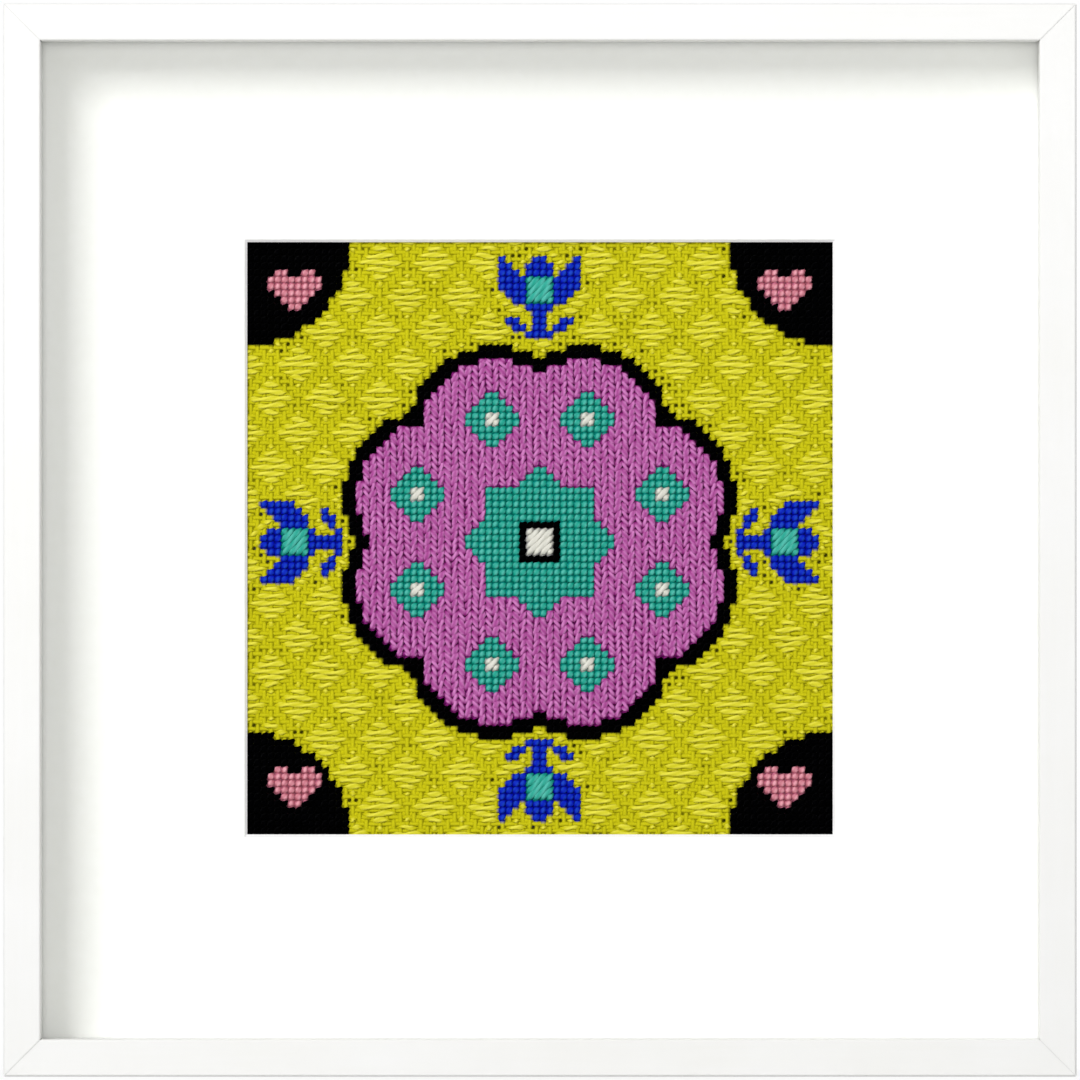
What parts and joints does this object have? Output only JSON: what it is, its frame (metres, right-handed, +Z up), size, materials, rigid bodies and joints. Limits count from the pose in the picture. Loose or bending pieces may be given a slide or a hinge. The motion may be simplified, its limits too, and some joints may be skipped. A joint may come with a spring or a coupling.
{
  "type": "needlepoint canvas panel in a box frame",
  "caption": "Square needlepoint panel with yarn stitches on mono canvas, behind a white card mat in a deep white box frame that stands upright or goes on a wall.",
  "frame": {"origin": "middle of the footprint, on the surface that the bottom rail stands on", "axes": "+X to the viewer's right along the frame's width, +Y from the front to the back, +Z up"},
  "size_m": [0.307, 0.04, 0.307],
  "materials": {
    "rail": "satin white paint on wood",
    "mat": "matt white card",
    "needlepoint": "twisted yarn in canvas-work stitches, soft and matt",
    "backing": "plain brown hardboard"
  },
  "bodies": {
    "root": {"rail_top": "rail", "rail_bottom": "rail", "rail_left": "rail", "rail_right": "rail", "mat": "mat", "needlepoint": "needlepoint", "backing": "backing"}
  },
  "joints": []
}
